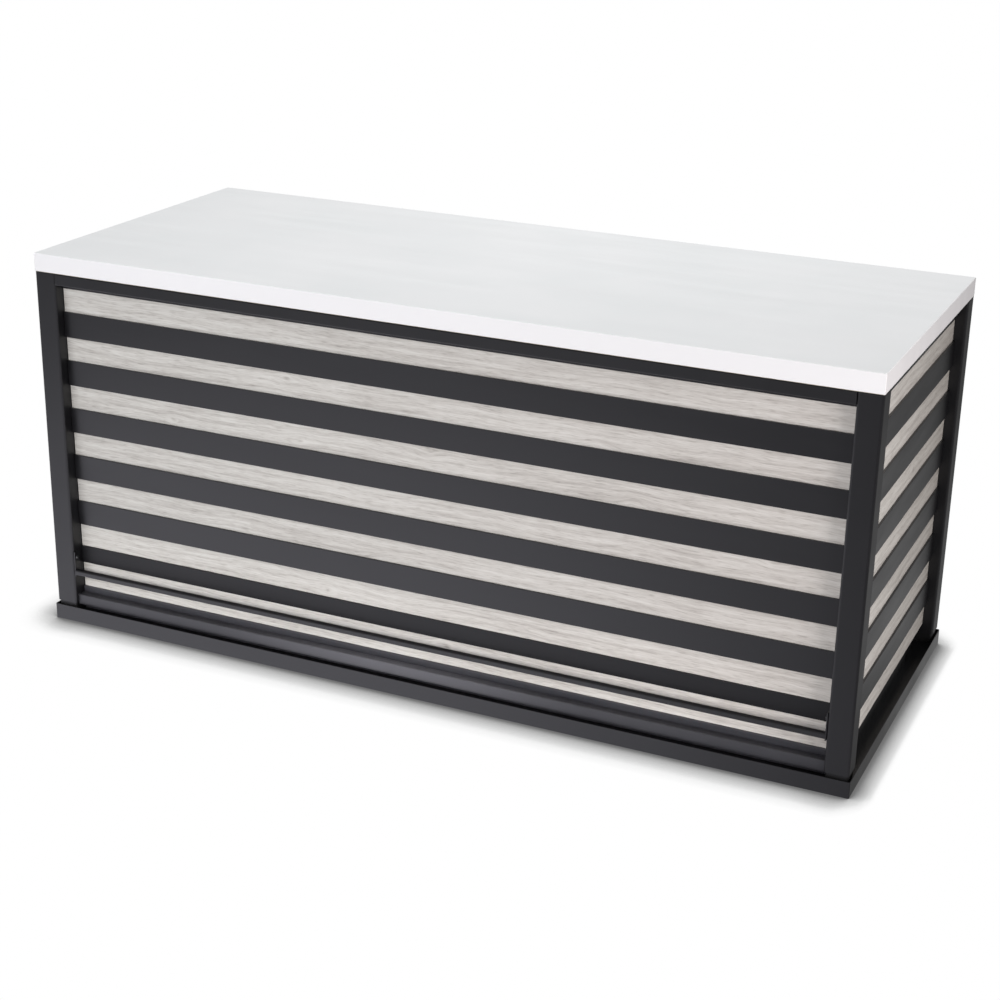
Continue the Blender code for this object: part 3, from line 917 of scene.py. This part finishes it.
@dataclass
class Screws:
    """Pan-head screws with a cross recess: on the guard bar's tabs, the end rails and the batten.

    Attributes:
        finishes: The station's materials.
        head_radius, head_height, facets: Size of the head above what it clamps, and its sides.
        crown, crown_steps: How far, and in how many steps, the head's rim is rounded.
        smooth_angle: Largest angle between two faces that are shaded as one.
        rim_depth: How far below the head's top an edge still belongs to its rim.
        recess_width, recess_length, recess_depth: Size of one arm of the cross.
        recess_floor: Size of the cross at its floor, as a share of its mouth.
        tab_thickness: Thickness of the guard bar's tabs.
        tab_setback, tab_drop: Distance of a tab's screw from the bar's front and the tab's top.
        top_rail_drop, bottom_rail_drop: Distance of a screw below the top of an end rail.
        rail_places, batten_places: Places of the screws along an end rail and the batten.
    """

    finishes: FinishBook
    head_radius: float = 4.8 * MM
    head_height: float = 2.8 * MM
    facets: int = 28
    crown: float = 1.9 * MM
    crown_steps: int = 5
    smooth_angle: float = math.radians(40)
    rim_depth: float = 0.1 * MM
    recess_width: float = 1.2 * MM
    recess_length: float = 4.8 * MM
    recess_depth: float = 1.5 * MM
    recess_floor: float = 0.6
    tab_thickness: float = 3 * MM
    tab_setback: float = 9 * MM
    tab_drop: float = 13 * MM
    top_rail_drop: float = 12.5 * MM
    bottom_rail_drop: float = 6.5 * MM
    rail_places: tuple[float, ...] = (-0.24, -0.08, 0.08, 0.24)
    batten_places: tuple[float, ...] = (-0.80, -0.48, -0.16, 0.16, 0.48, 0.80)

    def model(self) -> bpy.types.Object:
        """Model one screw head on the origin, looking up.

        Returns:
            The head, with a rounded crown and a cut cross.
        """
        deselect_all()
        bpy.ops.mesh.primitive_cylinder_add(
            vertices=self.facets,
            radius=self.head_radius,
            depth=self.head_height,
            location=(0.0, 0.0, self.head_height / 2),
        )
        head = bpy.context.object
        bpy.ops.object.transform_apply(location=True, rotation=True, scale=True)
        rim = self.head_height - self.rim_depth
        select_edges(head, lambda a, b: a.z > rim and b.z > rim)
        bpy.ops.mesh.bevel(offset=self.crown, segments=self.crown_steps, affect="EDGES")
        bpy.ops.object.mode_set(mode="OBJECT")
        for turn in (0.0, math.pi / 2):
            self.cut_arm(head, turn)
        select_only(head)
        bpy.ops.object.shade_smooth_by_angle(angle=self.smooth_angle)
        return head

    def cut_arm(self, head: bpy.types.Object, turn: float) -> None:
        """Cut one arm of the cross recess, narrower at its floor.

        Args:
            head: The screw head.
            turn: Turn of the arm about the head's axis.
        """
        deselect_all()
        bpy.ops.mesh.primitive_cube_add(
            size=1.0, location=(0.0, 0.0, self.head_height), rotation=(0.0, 0.0, turn)
        )
        arm = bpy.context.object
        arm.scale = (self.recess_length, self.recess_width, 2 * self.recess_depth)
        bpy.ops.object.transform_apply(location=True, rotation=True, scale=True)
        floor = self.head_height - self.recess_depth / 2
        select_edges(arm, lambda a, b: a.z < floor and b.z < floor)
        bpy.ops.transform.resize(
            value=(self.recess_floor, self.recess_floor, 1.0), center_override=(0.0, 0.0, 0.0)
        )
        bpy.ops.object.mode_set(mode="OBJECT")
        select_only(head)
        recess = head.modifiers.new("recess", "BOOLEAN")
        recess.object = arm
        bpy.ops.object.modifier_apply(modifier=recess.name)
        bpy.data.objects.remove(arm, do_unlink=True)

    def places(self) -> list[tuple[str, Vector, Facing]]:
        """Work out every screw's name, seat and direction from the solids.

        Returns:
            One entry for each screw.
        """
        found: list[tuple[str, Vector, Facing]] = []
        low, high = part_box("front_guard_bar")
        tabs = (
            ("left", low.x + self.tab_thickness, Facing.RIGHT),
            ("right", high.x - self.tab_thickness, Facing.LEFT),
        )
        for side, x, facing in tabs:
            seat = Vector((x, low.y + self.tab_setback, high.z - self.tab_drop))
            found.append((f"guard_bar_screw_{side}", seat, facing))
        for level, drop in (("top", self.top_rail_drop), ("bottom", self.bottom_rail_drop)):
            for side, facing in (("left", Facing.RIGHT), ("right", Facing.LEFT)):
                low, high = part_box(f"{level}_rail_{side}")
                inner = high.x if facing is Facing.RIGHT else low.x
                for index, y in enumerate(self.rail_places, start=1):
                    seat = Vector((inner, y, high.z - drop))
                    found.append((f"{level}_rail_{side}_screw_{index}", seat, facing))
        low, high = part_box("panel_foot_stop")
        for index, x in enumerate(self.batten_places, start=1):
            seat = Vector((x, (low.y + high.y) / 2, high.z))
            found.append((f"batten_screw_{index}", seat, Facing.UP))
        return found

    def build(self) -> None:
        """Model the head once and seat a copy at every place."""
        pattern = self.model()
        pattern.data.materials.clear()
        pattern.data.materials.append(self.finishes.zinc)
        for name, seat, facing in self.places():
            screw = pattern.copy()
            screw.data = pattern.data.copy()
            screw.name = name
            bpy.context.collection.objects.link(screw)
            if name.startswith("guard_bar"):
                screw.data.materials[0] = self.finishes.oxide
            screw.rotation_euler = (0.0, facing.value, 0.0)
            screw.location = seat
            select_only(screw)
            bpy.ops.object.transform_apply(location=True, rotation=True, scale=True)
            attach(screw, "frame")
            LOG.info("%s seated", name)
        bpy.data.objects.remove(pattern, do_unlink=True)


@dataclass(frozen=True)
class Lamp:
    """A soft lamp with a flat, evenly lit front.

    Attributes:
        name: The lamp's name.
        place: Where it hangs.
        target: What it looks at.
        size: Width and height of its front.
        power: Its power in watts.
        tint: Hex colour of its light.
        beam: Angle that its light fans out to.
    """

    name: str
    place: Triple
    target: Triple
    size: Pair
    power: float
    tint: str
    beam: float = math.pi

    def hang(self) -> None:
        """Hang the lamp, unseen in the picture and in reflections."""
        deselect_all()
        bpy.ops.object.light_add(type="AREA", location=self.place)
        lamp = bpy.context.object
        lamp.name = self.name
        lamp.data.shape = "RECTANGLE"
        lamp.data.size, lamp.data.size_y = self.size
        lamp.data.energy = self.power
        lamp.data.spread = self.beam
        lamp.data.color = srgb(self.tint)[:3]
        lamp.visible_camera = False
        lamp.visible_glossy = False
        aim = Vector(self.target) - Vector(self.place)
        lamp.rotation_euler = aim.to_track_quat("-Z", "Y").to_euler()
        LOG.info("%s hung", self.name)


@dataclass
class Studio:
    """White floor, soft lamps, world and camera.

    Attributes:
        floor_size: Length of the floor's sides.
        half_depth: Half depth of the station's base.
        pool_centre: Middle of the bright pool on the floor, which shiny faces mirror.
        pool_stretch: Weight of each direction in the distance from that middle.
        pool_span, pool_glow: Distances between which the pool fades, and its brightness at both.
        side_span, side_glow: Depths between which the floor beside brightens, and how bright it is.
        far_span, far_glow: Depths farther back between which it dims, and the share that is left.
        mirror_tints: Hex colours of the mirrored pool and of the mirrored floor beside the station.
        bounce_span, bounce_tints: Lengths between which the floor's bounce dims, and its hex colours.
        contact_span, contact_reach: Lengths between which the contact shadow narrows, and its reach.
        contact_stops: How open the floor is to the sky, and the hex colours of the shadow there.
        contact_samples: Samples of the contact shadow.
        world_fill: Strength of the even light all round.
        world_shine: Strength of what shiny faces mirror above the floor.
        focal_length: The camera's focal length in millimetres.
        camera_place, camera_turn: Where the camera stands, and its turn in degrees.
    """

    floor_size: float = 40.0
    half_depth: float = 0.3855
    pool_centre: Triple = (-1.09, -0.04, 0.0)
    pool_stretch: Triple = (1.0, 0.78, 1.0)
    pool_span: Pair = (0.87, 2.58)
    pool_glow: Pair = (1.79, 0.27)
    side_span: Pair = (-0.38, 0.40)
    side_glow: Pair = (0.19, 0.44)
    far_span: Pair = (0.60, 2.10)
    far_glow: Pair = (1.0, 0.52)
    mirror_tints: tuple[str, str] = ("#F4F3FD", "#FFFFFF")
    bounce_span: Pair = (0.70, 0.98)
    bounce_tints: tuple[str, str] = ("#A8A8A8", "#404040")
    contact_span: Pair = (0.90, 0.96)
    contact_reach: Pair = (0.090, 0.048)
    contact_stops: Stops = (
        (0.58, "#727272"), (0.70, "#A3A3A3"), (0.875, "#D5D5D5"), (0.955, "#FAFAFA"), (0.995, "#FFFFFF")
    )
    contact_samples: int = 16
    world_fill: float = 0.36
    world_shine: float = 0.35
    focal_length: float = 68.59
    camera_place: Triple = (1.60915, -3.56425, 1.82703)
    camera_turn: Triple = (68.864, -1.0315, 24.6147)

    def build(self) -> None:
        """Set up everything around the station."""
        self.lay_floor()
        self.light_world()
        self.hang_lamps()
        self.place_camera()
        bpy.context.scene.view_settings.view_transform = "Standard"

    @staticmethod
    def ray_kinds(tree: Nodes) -> tuple[Source, Source]:
        """Tell rays that look at the studio from those that only carry light.

        Args:
            tree: The node tree that asks.

        Returns:
            A factor that is 1 for camera rays, and one that is 1 for mirrored and refracted rays.
        """
        path = add_node(tree, "LightPath")
        shiny = add_node(
            tree,
            "Math",
            (path.outputs["Is Glossy Ray"], path.outputs["Is Transmission Ray"]),
            operation="MAXIMUM",
        )
        return path.outputs["Is Camera Ray"], shiny

    def lay_floor(self) -> None:
        """Lay a plain white floor under the station."""
        deselect_all()
        bpy.ops.mesh.primitive_plane_add(size=self.floor_size)
        floor = bpy.context.object
        floor.name = "studio_floor"
        floor.data.materials.append(self.floor_paper())
        LOG.info("floor laid")

    def floor_paper(self) -> Material:
        """Make the floor's paper: white with a contact shadow to the eye, dimmer to shiny faces.

        Returns:
            The finished material.
        """
        paper = bpy.data.materials.new("white_studio_paper")
        paper.use_nodes = True
        tree = paper.node_tree
        tree.nodes.clear()
        place = add_node(tree, "TexCoord").outputs["Object"]
        spot = add_node(tree, "SeparateXYZ", {"Vector": place})
        shadow = self.contact_shadow(tree, spot.outputs["X"])
        camera, shiny = self.ray_kinds(tree)
        seen = add_node(tree, "Math", (camera, shiny), operation="MAXIMUM")
        tint, mirrored = self.floor_glow(tree, place, spot.outputs["Y"])
        view = add_node(
            tree, "Mix", {MIX_FACTOR: camera, MIX_FIRST: tint, MIX_SECOND: shadow}, data_type="RGBA"
        )
        strength = add_node(
            tree,
            "Mix",
            {MIX_FACTOR: camera, NUMBER_FIRST: mirrored, NUMBER_SECOND: 1.0},
            data_type="FLOAT",
        )
        glow = add_node(tree, "Emission", {"Color": view, "Strength": strength})
        side = add_node(tree, "MapRange", (spot.outputs["X"], *self.bounce_span))
        tone = add_node(
            tree,
            "Mix",
            {
                MIX_FACTOR: side,
                MIX_FIRST: srgb(self.bounce_tints[0]),
                MIX_SECOND: srgb(self.bounce_tints[1]),
            },
            data_type="RGBA",
        )
        matt = add_node(tree, "BsdfDiffuse", {"Color": tone})
        both = add_node(tree, "MixShader", (seen, matt, glow))
        add_node(tree, "OutputMaterial", {"Surface": both})
        return paper

    def contact_shadow(self, tree: Nodes, length: Source) -> Source:
        """Draw the soft shadow where the base stands, narrower at the station's right end.

        Args:
            tree: The floor's node tree.
            length: Place along the station's length.

        Returns:
            The shadow's colour, white where the floor is open.
        """
        reach = add_node(tree, "MapRange", (length, *self.contact_span, *self.contact_reach))
        contact = add_node(tree, "AmbientOcclusion", {"Distance": reach}, samples=self.contact_samples)
        return add_node(tree, "ValToRGB", {"Fac": contact.outputs["AO"]}, stops=self.contact_stops)

    def floor_glow(self, tree: Nodes, place: Source, depth: Source) -> tuple[Source, Source]:
        """Work out how shiny faces see the floor: a cool pool in front, a dim floor beside.

        Args:
            tree: The floor's node tree.
            place: Place on the floor.
            depth: Place along the station's depth.

        Returns:
            The colour and the strength of the floor in reflections.
        """
        offset = add_node(tree, "VectorMath", (place, self.pool_centre), operation="SUBTRACT")
        weighed = add_node(tree, "VectorMath", (offset, self.pool_stretch), operation="MULTIPLY")
        away = add_node(tree, "VectorMath", (weighed,), operation="LENGTH")
        fades = (
            (away, self.pool_span, self.pool_glow, "SMOOTHSTEP"),
            (depth, self.side_span, self.side_glow, "LINEAR"),
            (depth, self.far_span, self.far_glow, "LINEAR"),
        )
        pool, side, far = (
            add_node(tree, "MapRange", (value, *span, *glow), interpolation_type=course)
            for value, span, glow, course in fades
        )
        dimmed = add_node(tree, "Math", (side, far), operation="MULTIPLY")
        beside = add_node(tree, "Math", (depth, -self.half_depth), operation="GREATER_THAN")
        strength = add_node(
            tree,
            "Mix",
            {MIX_FACTOR: beside, NUMBER_FIRST: pool, NUMBER_SECOND: dimmed},
            data_type="FLOAT",
        )
        first_tint, second_tint = (srgb(code) for code in self.mirror_tints)
        tint = add_node(
            tree,
            "Mix",
            {MIX_FACTOR: beside, MIX_FIRST: first_tint, MIX_SECOND: second_tint},
            data_type="RGBA",
        )
        return tint, strength

    def light_world(self) -> None:
        """Fill the studio with even light that looks white where it is seen."""
        world = bpy.data.worlds.new("white_studio")
        world.use_nodes = True
        tree = world.node_tree
        tree.nodes.clear()
        camera, shiny = self.ray_kinds(tree)
        unseen = add_node(
            tree,
            "Mix",
            {MIX_FACTOR: shiny, NUMBER_FIRST: self.world_fill, NUMBER_SECOND: self.world_shine},
            data_type="FLOAT",
        )
        strength = add_node(
            tree, "Mix", {MIX_FACTOR: camera, NUMBER_FIRST: unseen, NUMBER_SECOND: 1.0}, data_type="FLOAT"
        )
        sky = add_node(tree, "Background", {"Color": srgb("#FFFFFF"), "Strength": strength})
        add_node(tree, "OutputWorld", {"Surface": sky})
        bpy.context.scene.world = world

    def hang_lamps(self) -> None:
        """Hang a key on the guests' left, a fill on their right, three in front and one overhead."""
        lamps = (
            Lamp("key_softbox", (-1.5, -2.9, 1.7), (-0.1, -0.2, 0.45), (2.4, 2.4), 33.5, "#FBFCFF"),
            Lamp("right_softbox", (2.4, -1.0, 0.62), (0.9, -0.2, 0.5), (1.2, 1.2), 28.8, "#FFF8F5"),
            Lamp("front_softbox", (-0.2, -3.4, 0.95), (0.1, -0.3, 0.15), (1.8, 1.8), 33.8, "#FFFCFA"),
            Lamp("toe_strip", (-0.2, -0.82, 0.18), (-0.2, -0.34, 0.10), (1.9, 0.2), 0.7, "#FFFCFA"),
            Lamp(
                "kick_strip",
                (-0.2, -0.82, 0.30),
                (-0.2, -0.345, 0.075),
                (1.9, 0.1),
                0.33,
                "#FFFCFA",
                beam=math.radians(34),
            ),
            Lamp("overhead_softbox", (0.0, 0.9, 3.6), (-0.1, 0.2, 0.5), (2.2, 2.2), 69.0, "#FFFFFF"),
        )
        for lamp in lamps:
            lamp.hang()

    def place_camera(self) -> None:
        """Put the camera at a standing guest's eye height, before the front right corner."""
        deselect_all()
        bpy.ops.object.camera_add(
            location=self.camera_place, rotation=[math.radians(turn) for turn in self.camera_turn]
        )
        camera = bpy.context.object
        camera.name = "photo_camera"
        camera.data.lens = self.focal_length
        bpy.context.scene.camera = camera
        LOG.info("%s placed", camera.name)


def main() -> None:
    """Load the frame, dress every sub-assembly and set up the studio."""
    logging.basicConfig(level=logging.INFO, format="%(name)s: %(message)s")
    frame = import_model()
    finishes = FinishBook()
    for assembly in (ServingTop(finishes), TubeFrame(finishes), StripedPanels(finishes)):
        assembly.dress(frame["nodes"])
    Screws(finishes).build()
    Studio().build()


if __name__ == "__main__":
    main()
